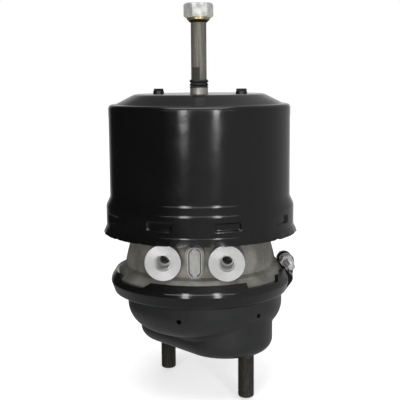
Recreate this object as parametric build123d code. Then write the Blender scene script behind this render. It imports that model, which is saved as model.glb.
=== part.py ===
"""Spring brake chamber for a disc brake, size 24/24, as separate pieces in millimetres.

The origin is the centre between the two mounting studs, on the mounting face.
+Z runs up to the release bolt, and the two air ports face -Y.
The cast flange, the spring cylinder and everything that slides share the chamber axis,
which stands beside the stud centre by bowl_offset. The piston is stored caged, with the
release bolt wound out.
"""

from build123d import *
from math import atan2, cos, degrees, radians, sin, sqrt
import os

# ---- overall heights, measured up from the mounting face --------------------------------
bowl_offset = 4.2            # stud centre beside the chamber axis, in +X
stroke = 56.0                # travel of piston, push rod and release bolt
gap = 0.3                    # clearance between separate pressed pieces
slide_gap = 0.05             # radial clearance of a sliding or turning fit

# ---- bowl (lower pressed housing) -------------------------------------------------------
bowl_wall = 3.0
rim_land = 2.5               # rim beyond the dish on its narrowest side
dish_floor = 20.0
dish_corner = 26.0
rim_height = 64.5
rim_bend = 1.6
pad_radius = 47.5            # round ends of the mounting pad
pad_half = 31.0              # their centres, from the stud centre towards each stud
pad_edge = 13.0
pad_blend = 5.0              # hollow fillet between pad and dish
rod_hole_radius = 15.5
drain_radius = 2.4
drain_places = ((-104.8, 41.9), (-45.0, 43.4))     # angle and height of each hole

# ---- mounting studs and the plate that carries them -------------------------------------
stud_spacing = 120.65
stud_angle = -44.0           # from +X to the stud under the clamp bolt side
stud_radius = 8.0
stud_shoulder = 0.4          # the stud is thicker where it sits in bowl and plate
stud_reach = 46.5            # below the mounting face
stud_point = 1.5             # chamfer of the free end
stud_head_radius = 12.0
stud_head = 5.0
stud_plate_thick = 5.0

# ---- diaphragm --------------------------------------------------------------------------
diaphragm_thick = 3.5
diaphragm_bends = (12.0, 5.0)
bead_width = 6.5
bead_height = 4.5

# ---- push rod group ---------------------------------------------------------------------
rod_radius = 11.0
rod_reach = 4.0              # below the mounting face at rest
plate_radius = 51.0
plate_thick = 3.5
plate_rise = 20.0            # pressure plate above the bowl rim at rest
return_wire = 4.0
return_turns = 5.5
return_low_radius = 40.0
return_high_radius = 30.0
bellows_wall = 1.4
bellows_folds = 5
bellows_outer = 20.0
bellows_neck = 15.0
bellows_bead = 5.0
bellows_top = 68.0
wiper_width = 4.2

# ---- cast intermediate flange -----------------------------------------------------------
flange_rim_radius = 86.5
flange_rim_edge = 6.3
flange_slope_rise = 7.7
flange_slope_run = 5.5
step_height = 90.0
step_in = 4.5
step_taper = 5.5
step_lean = 1.2
slope_edge = 2.5
waist_height = 112.0
waist_in = 5.5
waist_flare = 5.0
flare_height = 4.0
plate_low = 123.5
plate_edge = 2.0
plate_step = 1.7             # flange plate beyond the spring cylinder
plate_shoulder = 5.5
spigot_rise = 24.5           # above the flange plate
spigot_height = 10.0
spigot_wall = 8.2
trough_radius = 60.0
web_room = 0.8
web_high = 103.0
trough_bend = 4.0
hub_radius = 25.0
hub_rise = 5.5
hub_bend = 3.0
cavity_radius = 58.0
cavity_room = 1.0
cavity_lip = 3.0              # chamfer of the cavity's mouth
mouth_clear = 0.7

# ---- air ports and the plate between them -----------------------------------------------
port_drop = 23.0             # port centres below the flange plate
port_spacing = 60.5
port_face = 80.0             # in front of the chamber axis
port_boss_radius = 17.25
port_hole_radius = 7.25      # M16 x 1.5 tapping hole
port_depth = 19.0
port_chamfer = 1.1
air_way_radius = 4.8
air_way_depth = 34.0
badge_width = 14.2
badge_clear = 8.1            # flange plate above the plate with the rivets
badge_thick = 0.8
badge_seat = 2.0             # badge pad behind the port faces
badge_border = 1.6
badge_margin = 2.0           # badge pad round the plate
rivet_radius = 1.6
rivet_head = 0.9
rivet_head_radius = 2.3
rivet_length = 5.0

# ---- clamp ring -------------------------------------------------------------------------
ring_wall = 3.0
ring_room = 2.7
crest_low_rise = 4.0
crest_high_rise = 3.5
ring_low_in = 3.4
ring_low_drop = 6.0
ring_hook = 0.7
ring_lip_drop = 7.7
slope_room = 1.4
port_clear = 0.65
gap_rise = 0.5               # edge of the ring where the upper lip is cut away
lobe_half_angle = 34.0
lobe_slope = 7.0             # the cut lip's ends lean by this over the lip's height
ear_half_angle = 29.0
lug_rise = 3.3
lug_half_angle = 15.0
split_width = 9.0
clamp_bolt_radius = 4.0
clamp_bolt_height = 84.8
bolt_in = 3.7
clamp_bolt_near = 36.0
clamp_head_size = 13.0       # across flats
clamp_head = 5.3
clamp_nut_height = 6.5
bolt_point = 1.0
joint_angle = 8.0
joint_room = 12.0
lug_taper = 2.0
ring_bend = 2.5
lug_wall = 4.0
lug_size = 16.0

# ---- spring cylinder --------------------------------------------------------------------
cylinder_wall = 3.0
cylinder_radius = 90.5
cylinder_top = 247.5
cylinder_rim = 4.0
dome_rise = 10.0
dome_flat_radius = 58.0
dome_foot_in = 13.0
dome_bend = 20.0
dome_foot_bend = 4.0
shoulder_rise = 7.5
shoulder_drop = 1.0
shoulder_bend = 4.0
lip_start_rise = 3.0
lip_drop = 4.2
lip_flare = 3.3
slot_count = 9
slot_first = -110.0
slot_rise = 13.0
slot_length = 26.0
slot_width = 8.5
tongue_depth = 3.2
tongue_thick = 2.0
groove_depth = 5.5
vent_circle = 46.0
vent_angle = -21.0
vent_radius = 5.6
vent_stem_radius = 3.5
vent_height = 5.0

# ---- power spring and piston ------------------------------------------------------------
power_wire = 12.0
power_turns = 3.6
power_low_radius = 62.0
power_high_radius = 50.0
piston_wall = 4.0
piston_stop = 1.3            # piston above the flange hub at full stroke
piston_cup_in = 12.0
piston_cup = 28.5
piston_height = 50.7
piston_seal_height = 7.0
piston_guide_height = 6.0
piston_groove = 4.0
piston_ring_width = 9.0
piston_gap = 0.35
piston_hub_radius = 22.0
piston_hub = 7.0
tube_radius = 15.0
tube_wall = 3.2
foot_thick = 2.0
foot_plug = 6.0
bush_wall = 2.0
bush_length = 14.0
tube_seal_height = 6.0
tube_seal_depth = 4.5
circlip_thick = 1.5
o_ring_wire = 4.0
o_ring_margin = 3.0
clip_groove = 1.5

# ---- release bolt -----------------------------------------------------------------------
bolt_radius = 7.85
bolt_top = 346.5
nut_size = 26.0              # across flats
nut_height = 14.2
nut_chamfer = 1.6
nut_turn = 34.0
collar_high_radius = 11.6
collar_low_radius = 8.6
collar_height = 4.6
bolt_head_radius = 10.6
bolt_head = 8.0
washer_thick = 3.0
cap_hole_gap = 0.8
neck_radius = 9.0
neck_height = 6.0
bush_flange_radius = 16.0
bush_flange = 5.0
bush_depth = 20.0
wiper_radius = 9.8
wiper_height = 8.0
wiper_waist = 1.1
flat_depth = 0.9
flat_low = 271.5
flat_length = 12.0
flat_angle = -110.0
pin_radius = 1.5

# ---- sizes that follow from those above ---------------------------------------------------
rim_radius = flange_rim_radius - gap
dish_radius = rim_radius - bowl_offset - rim_land
flange_slope_radius = flange_rim_radius - flange_slope_run
step_radius = flange_slope_radius - step_in
waist_radius = step_radius - waist_in
bead_inner = flange_rim_radius - bead_width
plate_outer = cylinder_radius + plate_step
skirt_radius = plate_outer + gap + cylinder_wall
lip_radius = skirt_radius + lip_flare
wall_inner = cylinder_radius - cylinder_wall
spigot_radius = wall_inner - gap
recess_radius = spigot_radius - spigot_wall
dome_foot_radius = cylinder_radius - dome_foot_in
piston_cup_radius = wall_inner - piston_cup_in
ring_crest_radius = flange_rim_radius + ring_wall + ring_room
ring_low_radius = ring_crest_radius - ring_low_in
ring_lip_radius = rim_radius - ring_hook
ring_high_radius = flange_slope_radius + ring_wall + slope_room
lug_radius = ring_crest_radius + lug_rise
clamp_bolt_circle = ring_crest_radius - bolt_in
bead_low = rim_height
bead_high = bead_low + bead_height
flange_slope_top = bead_high + flange_rim_edge + flange_slope_rise
plate_height = rim_height + plate_rise
plate_top = plate_height + plate_thick
diaphragm_low = plate_top
diaphragm_high = diaphragm_low + diaphragm_thick
web_low = diaphragm_high + web_room
tube_low = diaphragm_high + gap
ring_low_height = rim_height - ring_low_drop
ring_lip_height = rim_height - ring_lip_drop
ring_crest_low = bead_low + crest_low_rise
ring_crest_high = bead_high + crest_high_rise
ring_gap_height = ring_crest_high + gap_rise
port_height = plate_low - port_drop
ring_high_height = port_height - port_boss_radius - port_clear
badge_height = 2 * (port_drop - badge_clear)
slot_height = plate_low + slot_rise
spigot_low = plate_low + spigot_rise
spigot_top = spigot_low + spigot_height
shoulder_high = spigot_low + shoulder_rise
shoulder_low = spigot_low - shoulder_drop
lip_start = plate_low + lip_start_rise
lip_end = plate_low - lip_drop
hub_top = plate_low + hub_rise
piston_floor = hub_top + stroke + piston_stop
piston_skirt_low = piston_floor + piston_cup
piston_skirt_top = piston_floor + piston_height
dome_top = cylinder_top + dome_rise
dome_inner = dome_top - cylinder_wall
washer_low = piston_floor - washer_thick
head_low = washer_low - bolt_head
nut_low = bolt_top - nut_height
o_ring_seat = wall_inner - o_ring_wire - slide_gap
collar_low = nut_low - collar_height
neck_top = dome_top + neck_height
o_ring_high = spigot_top - o_ring_margin
o_ring_low = o_ring_high - o_ring_wire - gap
rivet_place = badge_height / 2 - badge_width / 4
spread = stud_spacing / 2
near_stud = (spread * cos(radians(stud_angle)), spread * sin(radians(stud_angle)))
far_stud = (-near_stud[0], -near_stud[1])


def turned(face, arc=360.0, start=0.0):
    """A profile in the XZ plane turned about the Z axis, from the angle start."""
    return Rot(0, 0, start) * revolve(face, Axis.Z, arc)


def profile(*points):
    """A closed face through (radius, height) corners."""
    with BuildLine(Plane.XZ) as path:
        Polyline(*points, close=True)
    return make_face(path.line)


def sheet(points, bends, wall, side=Side.RIGHT):
    """The section of a pressed sheet: its outer skin with bend radii, thickened inwards."""
    with BuildLine(Plane.XZ) as path:
        FilletPolyline(*points, radius=bends)
    skin = path.wire().offset_2d(wall, kind=Kind.INTERSECTION, side=side, closed=True)
    return make_face(skin.edges())


def ring(inner, outer, low, high):
    return turned(profile((inner, low), (outer, low), (outer, high), (inner, high)))


def rod(radius, low, high, x=0.0, y=0.0):
    return Pos(x, y, low) * Cylinder(radius, high - low, align=(Align.CENTER, Align.CENTER, Align.MIN))


def hexagon(size, low, height, chamfer_size):
    """A hexagonal head whose corners are turned off at both ends."""
    corner = size / sqrt(3)
    blank = Pos(0, 0, low) * extrude(RegularPolygon(corner, 6), height)
    blank_ends = rod(corner, low, low + height)
    rims = blank_ends.edges().filter_by(GeomType.CIRCLE)
    turned_blank = chamfer(rims, chamfer_size / sqrt(3), chamfer_size)
    return blank & turned_blank


def coil(low_radius, high_radius, wire, turns, low, high):
    """An open coil spring between two seats, wider at one end than at the other."""
    rise = high - low - wire
    lean = degrees(atan2(high_radius - low_radius, rise))
    path = Helix(rise / turns, rise, low_radius, (0, 0, low + wire / 2), (0, 0, 1), cone_angle=lean)
    section = Plane(path @ 0, z_dir=path % 0) * Circle(wire / 2)
    return sweep(section, path)


# ---- bowl and what it carries ------------------------------------------------------------
def pad_outline(skin):
    """The mounting pad: a long form with round ends along the line of the studs."""
    return Rot(0, 0, stud_angle) * SlotCenterToCenter(2 * pad_half, 2 * (pad_radius - skin))


def bowl_form(skin):
    """The bowl as a solid: the whole of it at skin 0, and its hollow at the wall's thickness."""
    dish = rod(dish_radius - skin, dish_floor + skin, rim_height)
    dish = fillet(dish.edges().group_by(Axis.Z)[0], dish_corner - skin)
    pad = Pos(0, 0, skin) * extrude(pad_outline(skin), dish_floor + dish_corner - skin)
    body = dish + fillet(pad.edges().group_by(Axis.Z)[0], pad_edge - skin)
    seams = body.edges().filter_by_position(Axis.Z, pad_edge, dish_floor + dish_corner, (False, False))
    return fillet(seams, pad_blend + skin)


def rim_corner(shell):
    """The edge where the bowl's rim turns out of its wall."""
    circles = shell.edges().filter_by(GeomType.CIRCLE)
    under_rim = circles.filter_by_position(Axis.Z, rim_height - bowl_wall - gap, rim_height - bowl_wall + gap)
    return under_rim.filter_by(lambda edge: abs(edge.radius - dish_radius) < gap)


def bowl():
    rim = rod(rim_radius, rim_height - bowl_wall, rim_height, -bowl_offset, 0)
    shell = bowl_form(0.0) + rim - bowl_form(bowl_wall)
    body = fillet(rim_corner(shell), rim_bend)
    body -= rod(rod_hole_radius, 0, dish_floor, -bowl_offset, 0)
    for x, y in (near_stud, far_stud):
        body -= rod(stud_radius + stud_shoulder + gap, 0, dish_floor, x, y)
    for angle, height in drain_places:
        drill = Rot(0, 0, angle) * Pos(dish_radius, 0, height) * Rot(0, 90, 0)
        body -= drill * Cylinder(drain_radius, dish_corner)
    return body


def stud_plate():
    skin = bowl_wall + gap
    blank = Pos(0, 0, bowl_wall) * extrude(pad_outline(skin), pad_edge)
    blank = fillet(blank.edges().group_by(Axis.Z)[0], pad_edge - skin)
    plate = blank & rod(stud_spacing, bowl_wall, bowl_wall + stud_plate_thick)
    plate -= rod(rod_hole_radius, bowl_wall, dish_floor, -bowl_offset, 0)
    for x, y in (near_stud, far_stud):
        plate -= rod(stud_radius + stud_shoulder + slide_gap, bowl_wall, dish_floor, x, y)
    return plate


def mounting_stud(x, y):
    top = bowl_wall + stud_plate_thick
    shank = chamfer(rod(stud_radius, -stud_reach, 0, x, y).edges().group_by(Axis.Z)[0], stud_point)
    shoulder = rod(stud_radius + stud_shoulder, 0, top, x, y)
    return shank + shoulder + rod(stud_head_radius, top, top + stud_head, x, y)


def mounting_studs():
    return Compound([mounting_stud(*near_stud), mounting_stud(*far_stud)])


def rod_wiper():
    return ring(rod_hole_radius - wiper_width, rod_hole_radius - slide_gap, 0, bowl_wall)


def diaphragm():
    """A rubber dish: its bead between flange and bowl, its middle against the flange web."""
    points = (
        (0, diaphragm_high), (cavity_radius, diaphragm_high),
        (bead_inner, bead_high), (flange_rim_radius, bead_high),
    )
    return turned(sheet(points, diaphragm_bends, diaphragm_thick))


# ---- push rod group ----------------------------------------------------------------------
def push_rod():
    shaft = rod(rod_radius, -rod_reach, plate_height)
    return fillet(shaft.edges().group_by(Axis.Z)[0], rod_radius - 1.0)


def pressure_plate():
    return ring(0, plate_radius, plate_height, plate_top)


def return_spring():
    seat = bowl_wall + stud_plate_thick + gap
    return coil(return_low_radius, return_high_radius, return_wire, return_turns, seat, plate_height - gap)


def bellows():
    """A rubber gaiter: a neck through the pad, folds above the bowl floor and a bead on the rod."""
    seat = bowl_wall + stud_plate_thick + gap
    low = dish_floor + bowl_wall + gap
    inner = rod_radius + slide_gap
    fold = (bellows_top - bellows_bead - low) / bellows_folds
    outside = [(bellows_neck, seat), (bellows_neck, low)]
    inside = [(bellows_neck - bellows_wall, seat), (bellows_neck - bellows_wall, low + bellows_wall)]
    for n in range(bellows_folds):
        base = low + n * fold
        outside.append((bellows_outer, base + fold / 2))
        inside.append((bellows_outer - bellows_wall, base + fold / 2))
        outside.append((inner + 2 * bellows_wall, base + fold))
        inside.append((inner + bellows_wall, base + fold))
    body = turned(profile(*outside, *reversed(inside)))
    return body + ring(inner, inner + 2 * bellows_wall, bellows_top - bellows_bead, bellows_top)


# ---- cast intermediate flange -------------------------------------------------------------
def port_places():
    return [(side * port_spacing / 2, -port_face, port_height) for side in (-1, 1)]


def facing_front(x, y, z):
    """A plane at a point in front of the chamber, with its normal out of the front."""
    return Plane((x, y, z), x_dir=(1, 0, 0), z_dir=(0, -1, 0))


def badge_outline(extra=0.0):
    return SlotOverall(badge_height + 2 * extra, badge_width + 2 * extra, rotation=90)


def intermediate_flange():
    outer = [
        (flange_rim_radius, bead_high), (flange_rim_radius, bead_high + flange_rim_edge),
        (flange_slope_radius, flange_slope_top), (step_radius, flange_slope_top + slope_edge),
        (step_radius, step_height), (step_radius - step_lean, step_height + step_taper),
        (waist_radius, waist_height), (waist_radius, plate_low - flare_height),
        (waist_radius + waist_flare, plate_low),
        (plate_outer - plate_edge, plate_low), (plate_outer, plate_low + plate_edge),
    ]
    groove = [
        (plate_outer, slot_height - groove_depth), (plate_outer - groove_depth, slot_height - groove_depth),
        (plate_outer - groove_depth, slot_height + groove_depth), (plate_outer, slot_height + groove_depth),
    ]
    top = [
        (plate_outer, spigot_low - plate_shoulder), (spigot_radius, spigot_low), (spigot_radius, spigot_top),
        (recess_radius, spigot_top), (recess_radius, plate_low + trough_bend),
        (trough_radius + trough_bend / 2, plate_low),
        (trough_radius, web_high + trough_bend), (trough_radius - trough_bend, web_high),
        (hub_radius + hub_bend, web_high),
        (hub_radius, web_high + hub_bend), (hub_radius, hub_top), (tube_radius + slide_gap, hub_top),
    ]
    below = [
        (tube_radius + slide_gap, web_low), (cavity_radius + cavity_room, web_low),
        (bead_inner + mouth_clear, bead_high + cavity_lip - mouth_clear),
        (bead_inner + cavity_lip, bead_high),
    ]
    body = turned(profile(*outer, *groove, *top, *below))
    cavity = turned(profile((0, web_low), *below[1:], (0, bead_high)))
    for x, y, z in port_places():
        boss = facing_front(x, y, z) * extrude(Circle(port_boss_radius), -port_face / 2)
        body += boss - rod(trough_radius + trough_bend, 0, bolt_top)
    seat = facing_front(0, badge_seat - port_face, port_height)
    badge_pad = seat * extrude(badge_outline(badge_margin), -port_face / 2)
    body += badge_pad - rod(trough_radius + trough_bend, 0, bolt_top)
    body -= cavity
    for place in port_places():
        mouth = facing_front(*place)
        body -= mouth * extrude(Circle(port_hole_radius), -port_depth)
        body -= mouth * extrude(Circle(air_way_radius), -air_way_depth)
        countersink = Cone(port_hole_radius, port_hole_radius + port_chamfer, port_chamfer)
        body -= mouth * Pos(0, 0, -port_chamfer / 2) * countersink
    for end in (-1, 1):
        body -= seat * Pos(0, end * rivet_place, 0) * extrude(Circle(rivet_radius), -rivet_length)
    body -= ring(o_ring_seat, spigot_radius + gap, o_ring_low, o_ring_high)
    return body - bush_room()


def bush_room():
    """The hub's stepped bore: guide bush, seal and circlip, from the top down."""
    bore = tube_radius + slide_gap
    bush_top = hub_top - 2 * circlip_thick
    seal_top = bush_top - bush_length
    room = ring(bore, tube_radius + bush_wall, seal_top, bush_top)
    room += ring(bore, tube_radius + tube_seal_depth, seal_top - tube_seal_height, seal_top)
    room += ring(bore, tube_radius + bush_wall, bush_top, hub_top)
    clip_top = bush_top + circlip_thick + slide_gap
    return room + ring(bore, tube_radius + bush_wall + clip_groove, bush_top, clip_top)


def flange_o_ring():
    centre = wall_inner - o_ring_wire / 2 - slide_gap / 2
    return Pos(0, 0, o_ring_high - o_ring_wire / 2 - gap / 2) * Torus(centre, o_ring_wire / 2)


def guide_bush():
    top = hub_top - 2 * circlip_thick
    return ring(tube_radius + slide_gap, tube_radius + bush_wall - slide_gap, top - bush_length, top)


def tube_seal():
    top = hub_top - 2 * circlip_thick - bush_length
    outer = tube_radius + tube_seal_depth - slide_gap
    return ring(tube_radius + slide_gap, outer, top - tube_seal_height, top)


def circlip():
    low = hub_top - 2 * circlip_thick
    outer = tube_radius + bush_wall + clip_groove - gap
    clip = ring(tube_radius + 2 * slide_gap, outer, low, low + circlip_thick)
    return clip - Pos(tube_radius, 0, low) * Box(tube_radius, bush_wall * 2, bush_length)


def id_plate():
    seat = facing_front(0, badge_seat - port_face, port_height)
    plate = seat * extrude(badge_outline(), badge_thick)
    field = seat * Pos(0, 0, badge_thick / 2) * extrude(badge_outline(-badge_border), badge_thick)
    plate -= field
    for end in (-1, 1):
        plate += seat * Pos(0, end * rivet_place, 0) * extrude(Circle(rivet_head_radius + gap), badge_thick)
        plate -= seat * Pos(0, end * rivet_place, 0) * extrude(Circle(rivet_radius), badge_thick)
    return plate


def plate_rivet(end):
    seat = facing_front(0, badge_seat - port_face, port_height) * Pos(0, end * rivet_place, 0)
    head = seat * Pos(0, 0, badge_thick) * extrude(Circle(rivet_head_radius), rivet_head)
    return head + seat * Pos(0, 0, badge_thick) * extrude(Circle(rivet_radius - slide_gap), -rivet_length)


def plate_rivets():
    return Compound([plate_rivet(-1), plate_rivet(1)])


# ---- clamp ring ----------------------------------------------------------------------------
def ring_section(crest):
    points = (
        (ring_lip_radius, ring_lip_height), (ring_low_radius, ring_low_height), (crest, ring_crest_low),
        (crest, ring_crest_high), (ring_high_radius, ring_high_height),
    )
    return sheet(points, (ring_bend, ring_bend * 2, ring_bend * 2), ring_wall)


def sector(inner, outer, low, high, first, last):
    face = profile((inner, low), (outer, low), (outer, high), (inner, high))
    return turned(face, last - first, first)


def lug_outline():
    """The upright ear round the clamp bolt, drawn from its hole down to the ring's lower lip."""
    eye = Pos(clamp_bolt_circle, clamp_bolt_height) * CenterArc((0, 0), lug_size / 2, 0, 360)
    root = Pos(ring_low_radius, ring_crest_low) * CenterArc((0, 0), lug_size / 2 - lug_taper, 0, 360)
    return make_hull([*eye.edges(), *root.edges()])


def clamp_lug(side):
    middle = side * (split_width + lug_wall) / 2
    return Pos(0, middle, 0) * Rot(90, 0, 0) * extrude(lug_outline(), lug_wall / 2, both=True)


def inside_ring():
    """The space that the flange and the bowl's rim fill."""
    return turned(profile(
        (trough_radius, ring_low_height), (ring_low_radius - ring_wall, ring_low_height),
        (flange_rim_radius + gap, ring_crest_low), (flange_rim_radius + gap, bead_high + flange_rim_edge),
        (flange_slope_radius + gap, flange_slope_top), (flange_slope_radius + gap, plate_low),
        (trough_radius, plate_low),
    ))


def lip_cut(first, last):
    """Room where the ring's upper lip is cut away between two angles, with sloping ends."""
    outer = lug_radius + ring_wall
    room = sector(trough_radius, outer, ring_gap_height, plate_low, first, last)
    for angle, side in ((first, -lobe_slope), (last, lobe_slope)):
        with BuildLine(Plane.YZ) as path:
            corners = ((0, ring_gap_height), (side, ring_high_height), (side, plate_low), (0, plate_low))
            Polyline(*corners, close=True)
        wedge = extrude(make_face(path.line), outer - trough_radius)
        room += Rot(0, 0, angle) * (Pos(trough_radius, 0, 0) * wedge)
    return room


def clamp_ring():
    joint = Rot(0, 0, joint_angle)
    band = turned(ring_section(ring_crest_radius), 360 - 2 * lug_half_angle, joint_angle + lug_half_angle)
    band += turned(ring_section(lug_radius), 2 * lug_half_angle, joint_angle - lug_half_angle)
    for side in (0, 180):
        band -= lip_cut(side + ear_half_angle, side + 90 - lobe_half_angle)
        band -= lip_cut(side - 90 + lobe_half_angle, side - ear_half_angle)
    band -= lip_cut(joint_angle - joint_room, joint_angle + joint_room)
    band += joint * (clamp_lug(-1) + clamp_lug(1)) - inside_ring()
    room = Box(plate_low / 2, split_width, plate_low)
    band -= joint * (Pos(clamp_bolt_circle, 0, clamp_bolt_height) * room)
    return band - joint * tangent_rod(clamp_bolt_radius + gap, -clamp_bolt_near, clamp_bolt_near)


def tangent_rod(radius, near, far):
    """A rod along Y on the clamp bolt's line."""
    centre = Pos(clamp_bolt_circle, (near + far) / 2, clamp_bolt_height) * Rot(90, 0, 0)
    return centre * Cylinder(radius, far - near)


def tangent_hexagon(size, y, height):
    blank = extrude(RegularPolygon(size / sqrt(3), 6), height)
    return Pos(clamp_bolt_circle, y, clamp_bolt_height) * Rot(-90, 0, 0) * blank


def clamp_bolt():
    seat = split_width / 2 + lug_wall
    shank = tangent_rod(clamp_bolt_radius, -clamp_bolt_near, seat)
    shank = chamfer(shank.edges().group_by(Axis.Y)[0], bolt_point)
    return Rot(0, 0, joint_angle) * (shank + tangent_hexagon(clamp_head_size, seat, clamp_head))


def clamp_nut():
    seat = -split_width / 2 - lug_wall
    blank = tangent_hexagon(clamp_head_size, seat - clamp_nut_height, clamp_nut_height)
    bore = tangent_rod(clamp_bolt_radius + slide_gap, seat - clamp_nut_height - gap, seat)
    return Rot(0, 0, joint_angle) * (blank - bore)


# ---- spring cylinder -----------------------------------------------------------------------
def slot_window(angle):
    wall = Plane((skirt_radius, 0, slot_height), x_dir=(0, 1, 0), z_dir=(1, 0, 0))
    window = RectangleRounded(slot_length, slot_width, slot_width / 3)
    return Rot(0, 0, angle) * (wall * extrude(window, cylinder_wall * 2, both=True))


def slot_tongue(angle):
    """The strip of wall pressed inwards into the flange's groove."""
    low, high = -slot_width / 2 - tongue_thick / 2, slot_width / 2 - tongue_thick
    outer, inner = cylinder_wall - slide_gap, -tongue_depth
    with BuildLine(Plane.XZ) as path:
        Polyline(
            (outer, low), (inner + tongue_thick, high), (inner, high), (outer - tongue_thick, low), close=True
        )
    strip = extrude(make_face(path.line), slot_length / 2 - tongue_thick, both=True)
    return Rot(0, 0, angle) * Pos(skirt_radius - cylinder_wall, 0, slot_height) * strip


def spring_cylinder():
    points = (
        (neck_radius + gap, dome_top), (dome_flat_radius, dome_top), (dome_foot_radius, cylinder_top),
        (cylinder_radius, cylinder_top), (cylinder_radius, shoulder_high), (skirt_radius, shoulder_low),
        (skirt_radius, lip_start), (lip_radius, lip_end),
    )
    bends = (dome_bend, dome_foot_bend, cylinder_rim, shoulder_bend * 2, shoulder_bend * 2, shoulder_bend)
    body = turned(sheet(points, bends, cylinder_wall))
    for n in range(slot_count):
        angle = slot_first + n * 360 / slot_count
        body -= slot_window(angle)
        body += slot_tongue(angle)
    for angle in (vent_angle, vent_angle + 180):
        bore = rod(vent_stem_radius + slide_gap, dome_inner - gap, dome_top + gap, vent_circle)
        body -= Rot(0, 0, angle) * bore
    return body


def vent_plug(angle):
    half = vent_height / 2
    stem = rod(vent_stem_radius, dome_inner - half, dome_top, vent_circle)
    head = rod(vent_radius, dome_top, dome_top + half, vent_circle)
    cap = Pos(vent_circle, 0, 0) * hexagon(vent_radius * sqrt(3), dome_top + half, half, half / 3)
    barb = rod(vent_stem_radius + 2 * gap, dome_inner - half, dome_inner - slide_gap, vent_circle)
    return Rot(0, 0, angle) * (stem + head + cap + barb)


def vent_plugs():
    return Compound([vent_plug(vent_angle), vent_plug(vent_angle + 180)])


def release_bush():
    body = rod(neck_radius, dome_inner, neck_top)
    body += rod(bush_flange_radius, dome_inner - bush_flange, dome_inner)
    body += rod((bush_flange_radius + neck_radius) / 2, dome_inner - bush_depth, dome_inner)
    return body - rod(bolt_radius + slide_gap, dome_inner - bush_depth, neck_top)


def bolt_wiper():
    """A rubber wiper on the bush's neck, with a lip at each end."""
    third = wiper_height / 3
    bore = bolt_radius + slide_gap
    points = (
        (bore, neck_top), (wiper_radius, neck_top), (wiper_radius, neck_top + third / 2),
        (wiper_radius - wiper_waist, neck_top + third), (wiper_radius - wiper_waist, neck_top + 2 * third),
        (wiper_radius, neck_top + wiper_height - third / 2),
        (wiper_radius - wiper_waist, neck_top + wiper_height),
        (bore, neck_top + wiper_height),
    )
    return turned(profile(*points))


# ---- power spring and piston ---------------------------------------------------------------
def power_spring():
    seat = piston_floor + piston_wall + gap
    return coil(power_low_radius, power_high_radius, power_wire, power_turns, seat, dome_inner - gap)


def piston_seal_low():
    return piston_skirt_low + (piston_skirt_top - piston_skirt_low) / 6


def piston_guide_low():
    return piston_skirt_top - piston_guide_height - (piston_skirt_top - piston_skirt_low) / 8


def spring_piston():
    skirt = wall_inner - piston_gap
    points = (
        (bolt_radius + cap_hole_gap, piston_floor), (piston_cup_radius, piston_floor),
        (piston_cup_radius, piston_skirt_low), (skirt, piston_skirt_low),
    )
    body = turned(sheet(points, (piston_wall * 1.5, piston_wall / 2), piston_wall, Side.LEFT))
    body += ring(skirt - piston_ring_width, skirt, piston_skirt_low, piston_skirt_top)
    body += ring(bolt_radius + cap_hole_gap, piston_hub_radius, piston_floor, piston_floor + piston_hub)
    low = piston_seal_low()
    body -= ring(skirt - piston_groove, wall_inner, low, low + piston_seal_height)
    low = piston_guide_low()
    return body - ring(skirt - piston_groove / 2, wall_inner, low, low + piston_guide_height)


def piston_seal():
    low = piston_seal_low() + slide_gap
    inner = wall_inner - piston_gap - piston_groove + slide_gap
    return ring(inner, wall_inner - slide_gap, low, low + piston_seal_height - 2 * slide_gap)


def piston_guide_ring():
    low = piston_guide_low() + slide_gap
    inner = wall_inner - piston_gap - piston_groove / 2 + slide_gap
    return ring(inner, wall_inner - slide_gap, low, low + piston_guide_height - 2 * slide_gap)


def piston_tube():
    return ring(tube_radius - tube_wall, tube_radius, tube_low + foot_thick, piston_floor)


def tube_foot():
    shoulder = tube_low + foot_thick
    disc = fillet(rod(tube_radius, tube_low, shoulder).edges().group_by(Axis.Z)[0], foot_thick / 2)
    return disc + rod(tube_radius - tube_wall - slide_gap, shoulder, shoulder + foot_plug)


# ---- release bolt ---------------------------------------------------------------------------
def lock_pin():
    middle = nut_low + nut_height / 2
    return Pos(0, 0, middle) * Rot(90, 0, 0) * Cylinder(pin_radius, nut_size - nut_chamfer)


def pin_hole():
    middle = nut_low + nut_height / 2
    return Pos(0, 0, middle) * Rot(90, 0, 0) * Cylinder(pin_radius + slide_gap, nut_size)


def release_bolt():
    shank = rod(bolt_radius, head_low, bolt_top - nut_chamfer)
    shank = chamfer(shank.edges().group_by(Axis.Z)[-1], nut_chamfer / 2)
    head = rod(bolt_head_radius, head_low, head_low + bolt_head)
    flat = Rot(0, 0, flat_angle) * Pos(2 * bolt_radius - flat_depth, 0, flat_low + flat_length / 2)
    return shank + head - flat * Box(2 * bolt_radius, bolt_radius, flat_length) - pin_hole()


def release_nut():
    blank = Rot(0, 0, nut_turn) * hexagon(nut_size, nut_low, nut_height, nut_chamfer)
    return blank - rod(bolt_radius + slide_gap, nut_low, bolt_top) - pin_hole()


def bolt_collar():
    bore = bolt_radius + slide_gap
    return turned(profile(
        (bore, collar_low), (collar_low_radius, collar_low),
        (collar_high_radius, nut_low - collar_height / 3),
        (collar_high_radius, nut_low), (bore, nut_low),
    ))


def thrust_washer():
    return ring(bolt_radius + 2 * gap, bolt_head_radius, washer_low, piston_floor)


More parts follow.
